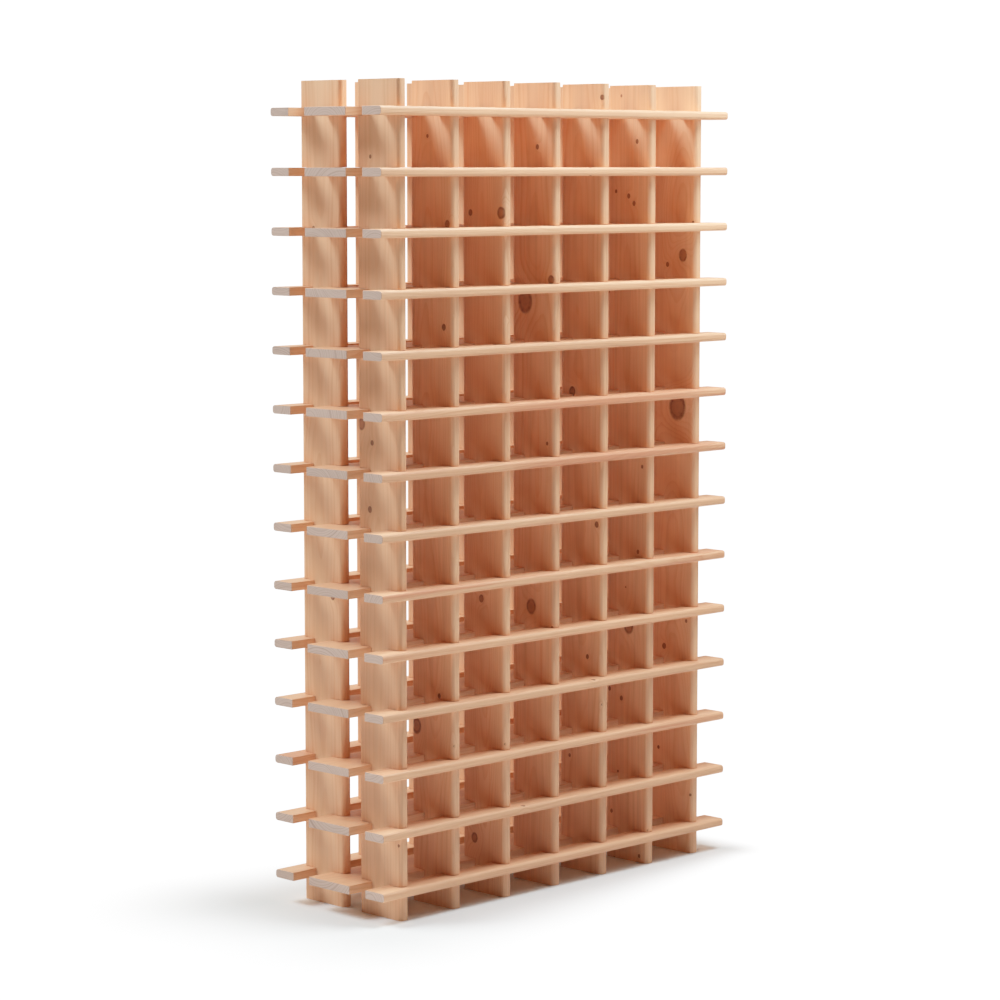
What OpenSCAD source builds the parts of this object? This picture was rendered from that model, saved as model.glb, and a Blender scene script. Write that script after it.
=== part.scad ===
// Slot-together timber wine rack.
//
// Pairs of upright boards, one at the front and one at the rear, stand in a row
// along X. At every level three slats run the whole length of the rack: a wide
// middle slat that ties each front upright to its rear one, and a narrow slat
// in the front edge and in the rear edge. Every crossing is a half-lap joint:
// both pieces are notched to half of the overlap, so nothing else holds them.
// A bottle lies in a cell with its axis along Y, over the three slats.
//
// Frame: +Z up, X along the slats, the front at -Y, and the origin on the floor
// under the middle of the rack. Millimetres.

/* [Cells] */
// Number of upright pairs along the rack
columns = 7; // [2:1:7]
// Number of slat levels
levels = 14; // [2:1:14]
// Clear width of a bottle cell, between two uprights
cell_w = 120; // [90:1:160]
// Clear height of a bottle cell, between two slats
cell_h = 99; // [85:1:140]

/* [Boards] */
// Width of an upright and of a middle slat, the full width of the stock
board_w = 118; // [90:1:150]
// Thickness of an upright
upright_t = 22; // [18:1:28]
// Thickness of a slat
slat_t = 17; // [17:1:25]
// Radius of the rounded edges of the uprights
upright_edge_r = 8; // [1:0.5:8.5]
// Radius of the rounded edge of the outer slats
slat_edge_r = 6; // [1:0.5:8]

/* [Layout] */
// Clear distance between the front upright and the rear one
upright_gap = 46; // [30:1:60]
// How far an outer slat stands out from the uprights
slat_projection = 17; // [10:1:30]
// How far a slat runs past the last upright at each end
slat_overhang = 61; // [30:1:120]
// Height of the lowest slat's underside above the floor
foot_h = 50; // [20:1:120]
// Height of the uprights above the highest slat
head_h = 53; // [20:1:120]

/* [Joints] */
// Side play of a board in its notch, both sides together
notch_play = 0.4; // [0.1:0.1:1]

/* [Hidden] */
$fn = 32;
// A cut runs this far past the edge that it opens
cut_past = 1;

column_pitch = cell_w + upright_t;
level_pitch = cell_h + slat_t;
upright_h = foot_h + (levels - 1) * level_pitch + slat_t + head_h;
slat_len = (columns - 1) * column_pitch + upright_t + 2 * slat_overhang;

// How far a slat and an upright overlap, seen from above, and half of it
overlap = (board_w - upright_gap) / 2;
notch_depth = overlap / 2;

// Places along Y, as distances from the rack's middle plane
upright_inner = upright_gap / 2;
upright_outer = upright_inner + board_w;
outer_slat_w = overlap + slat_projection;
outer_slat_edge = upright_outer + slat_projection;

upright_color = [0.88, 0.72, 0.56];
slat_color = [0.91, 0.77, 0.62];

function column_x(column) = (column - (columns + 1) / 2) * column_pitch;
function level_z(level) = foot_h + (level - 1) * level_pitch;
function names(stem, count) = [for (i = [1:count]) str(stem, i)];

// Rectangle from the origin with the two corners at its low-x end rounded
module one_round_edge(width, thickness, r) {
    union() {
        translate([r, 0]) square([width - r, thickness]);
        translate([0, r]) square([width, thickness - 2 * r]);
        for (y = [r, thickness - r])
            translate([r, y]) circle(r);
    }
}

// Rectangle from the origin with all four corners rounded
module two_round_edges(width, thickness, r) {
    union() {
        translate([r, 0]) square([width - 2 * r, thickness]);
        translate([0, r]) square([width, thickness - 2 * r]);
        for (x = [r, width - r], y = [r, thickness - r])
            translate([x, y]) circle(r);
    }
}

// Front upright of one column: a notch at every level in its front edge for the
// outer slat, and another in its inner edge for the middle slat
module front_upright(column) {
    color(upright_color)
    translate([column_x(column), 0, 0])
    difference() {
        translate([upright_t / 2, -upright_outer, 0])
            rotate([0, 0, 90])
            linear_extrude(upright_h) two_round_edges(board_w, upright_t, upright_edge_r);
        for (level = [1:levels]) {
            upright_notch(-upright_outer - cut_past, level);
            upright_notch(-upright_inner - notch_depth, level);
        }
    }
}

// Notch that a slat drops into, from y_low towards +Y. The slat rests on its
// floor, so all of the play is above the slat
module upright_notch(y_low, level) {
    translate([-upright_t, y_low, level_z(level)])
        cube([2 * upright_t, notch_depth + cut_past, slat_t + notch_play]);
}

module rear_upright(column) {
    mirror([0, 1, 0]) front_upright(column);
}

// Slots across a slat, one at every upright, from y_low towards +Y
module slat_slots(y_low) {
    slot_w = upright_t + notch_play;
    for (column = [1:columns])
        translate([column_x(column) - slot_w / 2, y_low, -slat_t])
            cube([slot_w, notch_depth + cut_past, 3 * slat_t]);
}

// Outer slat in the front edges: its rounded edge looks outwards, and its square
// inner edge is slotted
module front_slat(level) {
    color(slat_color)
    translate([0, 0, level_z(level)])
    difference() {
        translate([-slat_len / 2, -outer_slat_edge, 0])
            rotate([90, 0, 90])
            linear_extrude(slat_len) one_round_edge(outer_slat_w, slat_t, slat_edge_r);
        slat_slots(outer_slat_w - outer_slat_edge - notch_depth);
    }
}

module rear_slat(level) {
    mirror([0, 1, 0]) front_slat(level);
}

// Wide slat that crosses both rows of uprights, slotted in both of its edges
module middle_slat(level) {
    color(slat_color)
    translate([0, 0, level_z(level)])
    difference() {
        translate([-slat_len / 2, -board_w / 2, 0])
            cube([slat_len, board_w, slat_t]);
        slat_slots(-board_w / 2 - cut_past);
        slat_slots(board_w / 2 - notch_depth);
    }
}

for (i = [1:columns]) {
    front_upright(i);
    rear_upright(i);
}
for (i = [1:levels]) {
    front_slat(i);
    middle_slat(i);
    rear_slat(i);
}
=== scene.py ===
"""Wine rack of slot-together softwood boards, on a white studio floor.

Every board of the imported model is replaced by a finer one: the same outline with
its sawn edges eased, and with the place and the facts of its own piece of timber
stored on the mesh. One kind of wood material reads those, so each board has its
own growth rings, end grain, streaks and knots.
"""

import math
import random

import bmesh
import bpy
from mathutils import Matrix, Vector


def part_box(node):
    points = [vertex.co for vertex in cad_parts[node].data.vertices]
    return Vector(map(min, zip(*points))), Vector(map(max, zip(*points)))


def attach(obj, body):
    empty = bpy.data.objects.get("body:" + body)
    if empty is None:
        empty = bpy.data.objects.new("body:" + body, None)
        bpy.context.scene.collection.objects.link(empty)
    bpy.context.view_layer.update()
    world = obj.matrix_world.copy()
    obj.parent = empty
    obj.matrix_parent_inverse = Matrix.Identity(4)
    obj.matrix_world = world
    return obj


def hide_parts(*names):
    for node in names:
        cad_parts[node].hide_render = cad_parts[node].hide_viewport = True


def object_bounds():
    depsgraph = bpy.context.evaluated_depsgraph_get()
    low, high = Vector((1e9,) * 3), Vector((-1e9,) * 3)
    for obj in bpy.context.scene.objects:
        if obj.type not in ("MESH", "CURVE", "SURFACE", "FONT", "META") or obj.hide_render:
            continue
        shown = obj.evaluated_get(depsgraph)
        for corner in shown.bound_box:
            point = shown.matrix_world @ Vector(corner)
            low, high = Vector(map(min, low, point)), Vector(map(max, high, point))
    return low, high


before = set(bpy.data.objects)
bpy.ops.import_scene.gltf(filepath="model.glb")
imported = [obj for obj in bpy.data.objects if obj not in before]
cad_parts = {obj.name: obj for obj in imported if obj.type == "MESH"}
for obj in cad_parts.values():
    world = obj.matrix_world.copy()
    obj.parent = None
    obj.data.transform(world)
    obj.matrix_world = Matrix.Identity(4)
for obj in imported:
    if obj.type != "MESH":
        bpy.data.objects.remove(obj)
cad_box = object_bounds()

BODY = "root"
SAWN_EDGE = 0.0009        # how far the sawn edges are eased, metres
EDGE_SEGMENTS = 2
SHARP_FROM = math.radians(50)
KNOTS_EACH = 4
NO_KNOT = (50.0, 0.0, 0.001)

# The plainest knots: (height above the floor, towards the rear from the middle of
# the board's width, radius), metres
UPRIGHT_KNOTS = {
    "front_upright_1": [
        (0.93, 0.018, 0.004), (0.80, 0.025, 0.005),
        (0.965, 0.048, 0.009), (1.48, 0.020, 0.003),
    ],
    "front_upright_2": [
        (1.35, -0.045, 0.006), (1.52, 0.010, 0.003),
        (1.15, -0.035, 0.005), (0.355, 0.045, 0.012),
    ],
    "front_upright_3": [
        (1.37, -0.050, 0.009), (1.37, 0.035, 0.005),
        (0.60, 0.005, 0.006), (0.11, 0.025, 0.008),
    ],
    "front_upright_4": [
        (1.19, 0.022, 0.018), (1.50, -0.012, 0.004),
        (0.57, 0.004, 0.012), (1.235, -0.050, 0.007),
    ],
    "front_upright_5": [
        (1.00, 0.025, 0.008), (0.73, -0.045, 0.005),
        (0.24, 0.030, 0.003), (1.60, -0.055, 0.004),
    ],
    "front_upright_6": [
        (1.40, 0.000, 0.004), (1.385, -0.015, 0.004),
        (0.50, -0.005, 0.012), (0.345, 0.015, 0.004),
    ],
    "front_upright_7": [
        (0.955, -0.012, 0.021), (1.275, -0.025, 0.010),
        (0.44, 0.022, 0.005), (1.255, 0.018, 0.004),
    ],
    "rear_upright_1": [(1.34, 0.020, 0.004), (0.62, -0.030, 0.006)],
}
# (share of places with a pin knot, how streaky, how wavy), where it isn't like the rest
HABITS = {
    "front_upright_2": (0.10, 0.18, 1.6),
    "front_upright_4": (0.12, 0.20, 1.5),
    "front_upright_6": (0.60, 0.24, 0.9),
    "front_upright_7": (0.05, 0.14, 2.2),
}
# How much redder than the rest a board is, where that shows
RED_BOARDS = {
    "front_slat_1": 0.5, "front_slat_2": 0.4, "front_slat_3": 0.5, "front_slat_4": 0.3, "front_slat_5": 0.4,
    "front_slat_6": 0.6, "front_slat_7": 0.3, "front_slat_8": 0.9, "front_slat_9": 0.9, "front_slat_10": 0.0,
    "rear_slat_3": 0.9, "rear_slat_9": 0.7,
}
# (how strongly the rings show, how steeply they cross the board's width), where that shows
BOLD_BOARDS = {
    "front_slat_6": (1.3, -0.08),
    "front_slat_8": (1.6, -0.12),
    "front_slat_9": (1.6, 0.11),
}
# How steeply the rings of the other boards cross them, at most
UPRIGHT_LEAN = 0.008
SLAT_LEAN = 0.05

FLOOR_WHITE = (0.83, 0.82, 0.80, 1.0)
FLOOR_HALF = 40.0         # half the floor's side, metres
SHADOW_REACH = 0.23       # how far from the rack its shadow shows on the floor, metres
SHADOW_NARROWS = 0.28     # how much less for each metre towards the right end
SHADOW_LEAST = 0.1
ROOM_SHOWN = 1.05         # how bright the room is to look at
ROOM_LIGHT = 0.01         # how much of it lights the rack from every side
WALL_LIGHT = 0.75         # and from the wall behind
WALL_WAY = (60, 14)       # azimuth and elevation, degrees
WALL_FOCUS = 5.0          # how closely the light comes from that way
WALL_COLOUR = (1.0, 0.90, 0.76, 1.0)
KEY_ENERGY = 1.20
KEY_COLOUR = (0.97, 1.0, 0.96)
KEY_WAY = (122, 45)
KEY_WIDTH = math.radians(36)
# The soft boxes: (place, size, energy, colour), metres and watts
SOFT_BOXES = {
    "overhead": ((0.4, -0.8, 3.2), 1.0, 45.0, (0.82, 0.93, 1.0)),
    "high left": ((-2.4, 1.8, 4.4), 1.6, 66.0, (0.66, 0.85, 1.0)),
    "low right": ((1.9, -1.3, 2.2), 1.2, 15.0, (1.0, 0.91, 0.84)),
}
SOFT_BOX_AIM = (0.0, 0.0, 0.8)
SHOULDER = 2.2            # how strongly the film flattens the highlights
FILM_POINTS = 9


# ------------------------------------------------------------ writing node trees
class Graph:
    """A shader node tree, written as if it were a formula."""

    def __init__(self, tree):
        self.nodes = tree.nodes
        self.links = tree.links

    def put(self, value, socket):
        if isinstance(value, bpy.types.NodeSocket):
            self.links.new(value, socket)
        else:
            socket.default_value = value

    def math(self, operation, *values, clamp=False):
        node = self.nodes.new("ShaderNodeMath")
        node.operation = operation
        node.use_clamp = clamp
        for value, socket in zip(values, node.inputs):
            self.put(value, socket)
        return node.outputs[0]

    def add(self, *values):
        total = values[0]
        for value in values[1:]:
            total = self.math("ADD", total, value)
        return total

    def times(self, *values):
        product = values[0]
        for value in values[1:]:
            product = self.math("MULTIPLY", product, value)
        return product

    def minus(self, first, second):
        return self.math("SUBTRACT", first, second)

    def length(self, x, y):
        return self.math("SQRT", self.add(self.times(x, x), self.times(y, y)))

    def pack(self, x, y, z):
        node = self.nodes.new("ShaderNodeCombineXYZ")
        for value, socket in zip((x, y, z), node.inputs):
            self.put(value, socket)
        return node.outputs[0]

    def split(self, vector):
        node = self.nodes.new("ShaderNodeSeparateXYZ")
        self.put(vector, node.inputs[0])
        return tuple(node.outputs)

    def attribute(self, name):
        node = self.nodes.new("ShaderNodeAttribute")
        node.attribute_name = name
        return node.outputs["Vector"]

    def noise(self, x, y, z, detail=2.0, roughness=0.5):
        """Noise about 0, mostly within -0.6 to 0.6."""
        node = self.nodes.new("ShaderNodeTexNoise")
        self.put(self.pack(x, y, z), node.inputs["Vector"])
        node.inputs["Scale"].default_value = 1.0
        node.inputs["Detail"].default_value = detail
        node.inputs["Roughness"].default_value = roughness
        return self.math("MULTIPLY_ADD", node.outputs[0], 2.0, -1.0)

    def ramp(self, value, low, high):
        """0 at low and beyond it, 1 at high, smooth between. low may be above high."""
        node = self.nodes.new("ShaderNodeMapRange")
        node.interpolation_type = "SMOOTHSTEP"
        self.put(value, node.inputs["Value"])
        node.inputs["From Min"].default_value = min(low, high)
        node.inputs["From Max"].default_value = max(low, high)
        node.inputs["To Min"].default_value = 0.0 if low < high else 1.0
        node.inputs["To Max"].default_value = 1.0 if low < high else 0.0
        return node.outputs["Result"]

    def mix(self, share, first, second, blend="MIX"):
        node = self.nodes.new("ShaderNodeMix")
        node.data_type = "RGBA"
        node.blend_type = blend
        factor, a, b = (s for s in node.inputs if s.enabled)
        self.put(share, factor)
        self.put(first, a)
        self.put(second, b)
        return next(s for s in node.outputs if s.enabled)

    def grey(self, value):
        node = self.nodes.new("ShaderNodeCombineColor")
        for socket in node.inputs:
            self.put(value, socket)
        return node.outputs[0]


def rgb(red, green, blue):
    return (red, green, blue, 1.0)


# ------------------------------------------------------------ wood
EARLY = rgb(0.83, 0.423, 0.235)       # the pale wood of each ring
LATE = rgb(0.67, 0.265, 0.125)        # the thin dark line that ends a ring
RED_WOOD = rgb(0.60, 0.20, 0.10)      # heartwood streaks
YELLOW_WOOD = rgb(0.86, 0.48, 0.275)  # sapwood
END_PALE = rgb(0.58, 0.39, 0.31)      # sawn end grain
END_DARK = rgb(0.40, 0.24, 0.185)
KNOT_RED = rgb(0.39, 0.13, 0.052)
KNOT_RIM = rgb(0.17, 0.055, 0.022)

KNOT_STRETCH = 0.8        # how much a knot's length along the board counts, so that knots are long
PIN_KNOT_CELL = 0.075     # one place for a pin knot in each cell of this size, metres
PIN_KNOT_LEAST = 0.0013   # the smallest pin knot's radius, metres
PIN_KNOT_RANGE = 0.0032   # how much more the largest one's is
SWAY_ACROSS = 0.022       # how far the pith wanders, metres
SWAY_THROUGH = 0.020
RING_WAVE = 0.0016        # how far the rings ripple, metres
RING_UNEVEN = 1.1         # how uneven the rings' widths are
BUMP_STRENGTH = 0.5
BUMP_HEIGHT = 0.00025     # metres


class Timber:
    """Where a point lies in its board, and the facts of that board, as sockets."""

    def __init__(self, g):
        self.along, self.across, self.through = g.split(g.attribute("local"))
        self.shift, self.pith_across, self.pith_through = g.split(g.attribute("pith"))
        self.tone, self.red, self.spacing = g.split(g.attribute("board"))
        self.knotty, self.streaky, self.wavy = g.split(g.attribute("habit"))
        self.bold, self.lean_across, self.lean_through = g.split(g.attribute("figure"))
        self.run = g.add(self.along, g.times(self.shift, 7.0))

    def grain(self, g, along_rate, across_rate, **detail):
        """Noise that is drawn out along the board. The rates are per metre."""
        return g.noise(g.times(self.run, along_rate), g.times(self.across, across_rate),
                       g.times(self.through, across_rate), **detail)


def stated_knot(g, timber, name):
    """(distance in radii, radius) of one of the board's stated knots."""
    at_along, at_across, radius = g.split(g.attribute(name))
    stretched = g.times(g.minus(timber.along, at_along), KNOT_STRETCH)
    reach = g.length(stretched, g.minus(timber.across, at_across))
    return g.math("DIVIDE", reach, radius), radius


def pin_knots(g, timber):
    """(distance in radii, radius) of the nearest of many small knots, most of them absent."""
    node = g.nodes.new("ShaderNodeTexVoronoi")
    node.voronoi_dimensions = "2D"
    node.inputs["Scale"].default_value = 1.0
    node.inputs["Randomness"].default_value = 0.9
    cells_along = g.add(g.times(timber.along, KNOT_STRETCH / PIN_KNOT_CELL), g.times(timber.shift, 31.0))
    cells_across = g.times(timber.across, 1.0 / PIN_KNOT_CELL)
    g.put(g.pack(cells_along, cells_across, 0.0), node.inputs["Vector"])
    chance, size, _ = g.split(node.outputs["Color"])
    present = g.math("LESS_THAN", chance, timber.knotty)
    radius = g.times(present, g.math("MULTIPLY_ADD", size, PIN_KNOT_RANGE, PIN_KNOT_LEAST))
    radius = g.math("MAXIMUM", radius, 0.00001)
    return g.math("DIVIDE", g.times(node.outputs["Distance"], PIN_KNOT_CELL), radius), radius


class Knots:
    """All the knots of a board: how far they swell the rings, and where their parts are."""

    def __init__(self, g, timber):
        places = [stated_knot(g, timber, f"knot_{i + 1}") for i in range(KNOTS_EACH)]
        places.append(pin_knots(g, timber))
        self.ragged = g.noise(g.times(timber.run, 110.0), g.times(timber.across, 110.0), timber.shift,
                              detail=3.0)
        self.swell, self.core, self.rim, self.small = 0.0, 0.0, 0.0, 0.0
        for reach, radius in places:
            self.include(g, g.math("MULTIPLY_ADD", self.ragged, 0.14, reach), radius)

    def include(self, g, reach, radius):
        bell = g.math("EXPONENT", g.times(reach, reach, -0.16))
        self.swell = g.add(self.swell, g.times(bell, radius, 1.5))
        inside = g.ramp(reach, 1.12, 0.82)
        self.core = g.math("MAXIMUM", self.core, inside)
        self.small = g.math("MAXIMUM", self.small, g.times(inside, g.ramp(radius, 0.010, 0.003)))
        band = g.times(g.ramp(reach, 0.55, 0.92), g.ramp(reach, 1.25, 0.98))
        self.rim = g.math("MAXIMUM", self.rim, band)

    def paint(self, g, side, broad):
        """The side's colour with the knots on it, where it is one of the broad faces."""
        heart_rings = g.math("MULTIPLY_ADD", g.math("SINE", g.times(self.swell, 3600.0)), 0.12, 0.14)
        dark = g.add(heart_rings, g.times(self.small, 0.55), g.times(self.ragged, 0.35))
        colour = g.mix(g.math("MAXIMUM", dark, 0.0), KNOT_RED, KNOT_RIM)
        side = g.mix(g.times(self.core, 0.88, broad), side, colour)
        rim_strength = g.math("MULTIPLY_ADD", self.ragged, 1.1, 0.6, clamp=True)
        return g.mix(g.times(self.rim, rim_strength, broad), side, KNOT_RIM)


def latewood(g, timber, swell):
    """1 in the dark line that ends each growth ring, and 0 in the pale wood between."""
    run, shift = timber.run, timber.shift
    sway_across = g.noise(g.times(run, 1.5), g.times(shift, 3.0), 0.5, detail=1.0)
    sway_through = g.noise(g.times(run, 1.9), 4.5, g.times(shift, 2.0), detail=1.5)
    ring_across = g.add(g.minus(timber.across, timber.pith_across),
                        g.times(sway_across, SWAY_ACROSS, timber.wavy),
                        g.times(timber.along, timber.lean_across))
    ring_through = g.add(g.minus(timber.through, timber.pith_through),
                         g.times(sway_through, SWAY_THROUGH, timber.wavy),
                         g.times(timber.along, timber.lean_through))
    wave = g.times(timber.grain(g, 14.0, 28.0, detail=2.0), RING_WAVE)
    distance = g.add(g.length(ring_across, ring_through), wave, swell)
    uneven = g.times(g.noise(g.times(distance, 90.0), shift, 0.0, detail=1.0), RING_UNEVEN)
    phase = g.add(g.math("DIVIDE", distance, timber.spacing), uneven)
    part = g.math("FRACT", phase)
    ring = g.math("FLOOR", phase)
    differs = g.noise(g.times(ring, 0.37), shift, 2.0, detail=0.0)
    boldness = g.math("MULTIPLY_ADD", differs, 0.8, 0.55, clamp=True)
    return g.times(g.ramp(part, 0.45, 0.93), g.ramp(part, 1.0, 0.95), boldness)


def side_colour(g, timber, late, fibre, streak):
    """Planed wood along the grain: rings, sapwood, heartwood streaks and fibres."""
    drift = timber.grain(g, 1.7, 14.0, detail=2.0)
    side = g.mix(g.times(late, timber.bold, 0.62), EARLY, LATE)
    sapwood = g.math("MULTIPLY_ADD", timber.red, -0.45, 0.30)
    yellow = g.math("MULTIPLY_ADD", drift, 0.9, sapwood, clamp=True)
    side = g.mix(g.times(yellow, 0.75), side, g.mix(g.times(late, 0.4), YELLOW_WOOD, LATE))
    heartwood = g.add(streak, g.times(drift, 0.8), g.times(timber.red, 0.55))
    side = g.mix(g.times(g.ramp(heartwood, 0.35, 1.0), 0.8), side, RED_WOOD)
    lightness = g.add(1.0, g.times(timber.tone, 0.05), g.times(fibre, 0.10),
                      g.times(streak, timber.streaky), g.times(drift, 0.12))
    return g.mix(1.0, side, g.grey(lightness), blend="MULTIPLY")


def end_colour(g, timber, late, pores):
    """Wood cut across the grain: greyer, and sawn."""
    colour = g.mix(g.times(late, 0.9), END_PALE, END_DARK)
    lightness = g.add(1.0, g.times(pores, 0.12), g.times(timber.tone, 0.05))
    return g.mix(1.0, colour, g.grey(lightness), blend="MULTIPLY")


def wood_material(name, end_axis, through_axis):
    """Softwood for boards that run along the rack's end_axis and are thin along through_axis."""
    material = bpy.data.materials.new(name)
    material.use_nodes = True
    g = Graph(material.node_tree)
    shader = next(n for n in g.nodes if n.type == "BSDF_PRINCIPLED")
    timber = Timber(g)
    knots = Knots(g, timber)
    late = latewood(g, timber, knots.swell)
    fibre = timber.grain(g, 9.0, 900.0, detail=3.0, roughness=0.6)
    streak = timber.grain(g, 2.2, 130.0, detail=3.0, roughness=0.6)
    pores = timber.grain(g, 300.0, 1500.0, detail=2.0)

    # Which faces are cut across the board, and which are its broad ones
    geometry = g.nodes.new("ShaderNodeNewGeometry")
    facing = g.split(geometry.outputs["True Normal"])
    end = g.ramp(g.math("ABSOLUTE", facing[end_axis]), 0.75, 0.95)
    broad = g.ramp(g.math("ABSOLUTE", facing[through_axis]), 0.2, 0.8)

    side = knots.paint(g, side_colour(g, timber, late, fibre, streak), broad)
    g.put(g.mix(end, side, end_colour(g, timber, late, pores)), shader.inputs["Base Color"])

    # A planed, untreated surface: latewood stands a little proud and is smoother
    rough = g.add(0.56, g.times(late, -0.10), g.times(streak, 0.08), g.times(end, 0.22))
    g.put(rough, shader.inputs["Roughness"])
    bump = g.nodes.new("ShaderNodeBump")
    bump.inputs["Strength"].default_value = BUMP_STRENGTH
    bump.inputs["Distance"].default_value = BUMP_HEIGHT
    height = g.add(g.times(late, 0.5), g.times(fibre, 0.5), g.times(knots.core, 0.5),
                   g.times(pores, end, 0.6))
    g.put(height, bump.inputs["Height"])
    g.put(bump.outputs["Normal"], shader.inputs["Normal"])
    return material


# ------------------------------------------------------------ boards
def axis_order(node):
    """(along, across, through): the axis numbers of a board, its longest side first."""
    low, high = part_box(node)
    return sorted(range(3), key=lambda i: low[i] - high[i])


def timber_facts(node, centre_height):
    """What the material needs to know about one board's own piece of timber."""
    rng = random.Random("timber of " + node)
    side = rng.choice((-1, 1))
    red = RED_BOARDS.get(node, rng.uniform(-0.5, 0.35))
    knots = [(height - centre_height, across, radius)
             for height, across, radius in UPRIGHT_KNOTS.get(node, [])]
    knots += [NO_KNOT] * (KNOTS_EACH - len(knots))
    usual_habit = (rng.uniform(0.0, 0.12), rng.uniform(0.10, 0.20), rng.uniform(0.6, 1.3))
    steep = UPRIGHT_LEAN if "upright" in node else SLAT_LEAN
    usual_figure = (rng.uniform(0.7, 1.15), rng.uniform(-steep, steep))
    bold, lean = BOLD_BOARDS.get(node, usual_figure)
    return {
        "pith": (rng.random(), rng.uniform(-0.035, 0.035), side * rng.uniform(0.015, 0.09)),
        "board": (rng.uniform(-1, 1), red, rng.uniform(0.0036, 0.0070)),
        "habit": HABITS.get(node, usual_habit),
        "figure": (bold, lean, rng.uniform(-steep, steep)),
        **{f"knot_{i + 1}": knot for i, knot in enumerate(knots)},
    }


def store(mesh, name, values):
    layer = mesh.attributes.new(name, "FLOAT_VECTOR", "POINT")
    layer.data.foreach_set("vector", values)


def eased_mesh(node):
    """The CAD board's mesh as clean flat faces, with its sawn edges eased."""
    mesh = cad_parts[node].data.copy()
    mesh.name = node + "_board"
    mesh.materials.clear()
    bm = bmesh.new()
    bm.from_mesh(mesh)
    bmesh.ops.remove_doubles(bm, verts=bm.verts, dist=1e-6)
    bmesh.ops.dissolve_limit(bm, angle_limit=math.radians(0.5), verts=bm.verts, edges=bm.edges)
    sawn = [e for e in bm.edges
            if len(e.link_faces) == 2 and e.is_convex and e.calc_face_angle(0.0) > SHARP_FROM]
    bmesh.ops.bevel(bm, geom=sawn, offset=SAWN_EDGE, offset_type="OFFSET", segments=EDGE_SEGMENTS,
                    profile=0.5, affect="EDGES", clamp_overlap=True)
    bm.to_mesh(mesh)
    bm.free()
    return mesh


def build_board(node, material):
    mesh = eased_mesh(node)
    low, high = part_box(node)
    order = axis_order(node)
    centre = [(low[i] + high[i]) / 2 for i in range(3)]
    store(mesh, "local", [v.co[i] - centre[i] for v in mesh.vertices for i in order])
    for name, value in timber_facts(node, centre[2]).items():
        store(mesh, name, list(value) * len(mesh.vertices))
    mesh.shade_smooth()
    mesh.set_sharp_from_angle(angle=SHARP_FROM)
    mesh.materials.append(material)
    piece = bpy.data.objects.new(node + "_board", mesh)
    bpy.context.scene.collection.objects.link(piece)
    weights = piece.modifiers.new("flat faces", "WEIGHTED_NORMAL")
    weights.keep_sharp = True
    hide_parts(node)
    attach(piece, BODY)


upright_wood = wood_material("upright wood", end_axis=2, through_axis=0)
slat_wood = wood_material("slat wood", end_axis=0, through_axis=2)
for node in sorted(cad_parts):
    build_board(node, upright_wood if "upright" in node else slat_wood)


# ------------------------------------------------------------ studio
def paper_material():
    """White paper. Away from the rack it is shown as white as the room behind it."""
    material = bpy.data.materials.new("white paper")
    material.use_nodes = True
    g = Graph(material.node_tree)
    shader = next(n for n in g.nodes if n.type == "BSDF_PRINCIPLED")
    output = next(n for n in g.nodes if n.type == "OUTPUT_MATERIAL")
    shader.inputs["Base Color"].default_value = FLOOR_WHITE
    shader.inputs["Roughness"].default_value = 0.9
    glow = g.nodes.new("ShaderNodeEmission")
    glow.inputs["Strength"].default_value = ROOM_SHOWN
    geometry = g.nodes.new("ShaderNodeNewGeometry")
    x, y, _ = g.split(geometry.outputs["Position"])
    beyond_end = g.math("MAXIMUM", g.minus(g.math("ABSOLUTE", x), cad_box[1][0]), 0.0)
    beyond_front = g.math("MAXIMUM", g.minus(g.math("ABSOLUTE", y), cad_box[1][1]), 0.0)
    reach = g.math("MAXIMUM", g.minus(SHADOW_REACH, g.times(x, SHADOW_NARROWS)), SHADOW_LEAST)
    away = g.ramp(g.math("DIVIDE", g.length(beyond_end, beyond_front), reach), 0.0, 1.0)
    path = g.nodes.new("ShaderNodeLightPath")
    blend = g.nodes.new("ShaderNodeMixShader")
    g.put(g.times(away, path.outputs["Is Camera Ray"]), blend.inputs[0])
    g.put(shader.outputs[0], blend.inputs[1])
    g.put(glow.outputs[0], blend.inputs[2])
    g.put(blend.outputs[0], output.inputs["Surface"])
    return material


def add_floor():
    half = FLOOR_HALF
    mesh = bpy.data.meshes.new("studio_floor")
    corners = [(-half, -half, 0), (half, -half, 0), (half, half, 0), (-half, half, 0)]
    mesh.from_pydata(corners, [], [(0, 1, 2, 3)])
    mesh.materials.append(paper_material())
    floor = bpy.data.objects.new("studio_floor", mesh)
    bpy.context.scene.collection.objects.link(floor)


def direction(azimuth, elevation):
    """The unit vector that way: azimuth in degrees from +X towards +Y, elevation above the floor."""
    a, e = math.radians(azimuth), math.radians(elevation)
    return Vector((math.cos(e) * math.cos(a), math.cos(e) * math.sin(a), math.sin(e)))


def add_lamp(name, kind, energy, aim):
    light = bpy.data.lights.new(name, kind)
    light.energy = energy
    lamp = bpy.data.objects.new(name, light)
    lamp.rotation_mode = "QUATERNION"
    lamp.rotation_quaternion = aim.to_track_quat("-Z", "Y")
    bpy.context.scene.collection.objects.link(lamp)
    return lamp


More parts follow.
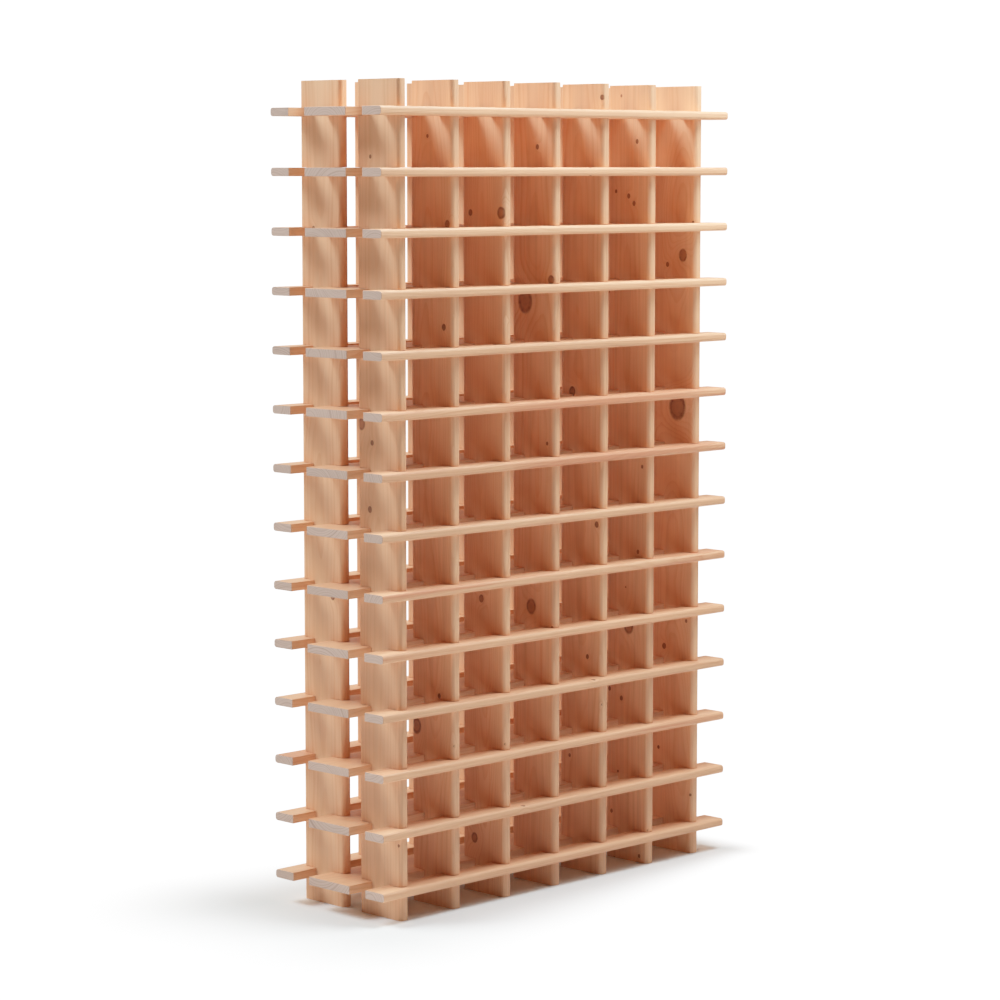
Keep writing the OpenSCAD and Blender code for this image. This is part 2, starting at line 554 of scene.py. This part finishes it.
def add_lights():
    """A broad key from high behind the left end, and soft boxes above, to the left and to the right."""
    key = add_lamp("key", "SUN", KEY_ENERGY, -direction(*KEY_WAY))
    key.data.angle = KEY_WIDTH
    key.data.color = KEY_COLOUR
    for name, (place, size, energy, colour) in SOFT_BOXES.items():
        box = add_lamp(name, "AREA", energy, Vector(SOFT_BOX_AIM) - Vector(place))
        box.location = place
        box.data.size = size
        box.data.color = colour


def add_world():
    """A room that is white to look at, and lights the rack mostly from the wall behind it."""
    world = bpy.data.worlds.new("studio")
    bpy.context.scene.world = world
    world.use_nodes = True
    g = Graph(world.node_tree)
    sky = world.node_tree.nodes["Background"]
    coordinates = g.nodes.new("ShaderNodeTexCoord")
    x, y, z = g.split(coordinates.outputs["Generated"])
    wall = direction(*WALL_WAY)
    facing = g.add(g.times(x, wall.x), g.times(y, wall.y), g.times(z, wall.z), -1.0)
    wall_light = g.times(g.math("EXPONENT", g.times(facing, WALL_FOCUS)), WALL_LIGHT)
    path = g.nodes.new("ShaderNodeLightPath")
    seen = path.outputs["Is Camera Ray"]
    strength = g.add(g.times(seen, ROOM_SHOWN), g.times(g.minus(1.0, seen), g.add(wall_light, ROOM_LIGHT)))
    g.put(strength, sky.inputs["Strength"])
    g.put(g.mix(seen, WALL_COLOUR, rgb(1.0, 1.0, 1.0)), sky.inputs["Color"])


def set_film():
    """A film-like response: steep in the shadows and flat in the highlights."""
    view = bpy.context.scene.view_settings
    view.view_transform = "Standard"
    view.use_curve_mapping = True
    curves = view.curve_mapping
    curve = curves.curves[3]
    while len(curve.points) < FILM_POINTS:
        curve.points.new(0.5, 0.5)
    for i in range(FILM_POINTS):
        x = (i / (FILM_POINTS - 1)) ** 1.5
        curve.points[i].location = (x, (1 - math.exp(-SHOULDER * x)) / (1 - math.exp(-SHOULDER)))
    curves.update()


def add_camera():
    """In front of the left end, level with the upper boards and looking slightly down."""
    data = bpy.data.cameras.new("camera")
    data.sensor_width = 36.0
    data.lens = 112.15
    data.shift_y = -0.015
    camera = bpy.data.objects.new("camera", data)
    camera.location = (-4.510, -4.467, 1.463)
    camera.rotation_mode = "QUATERNION"
    camera.rotation_quaternion = direction(44.87, -5.857).to_track_quat("-Z", "Y")
    bpy.context.scene.collection.objects.link(camera)
    bpy.context.scene.camera = camera


add_floor()
add_world()
add_lights()
add_camera()
set_film()
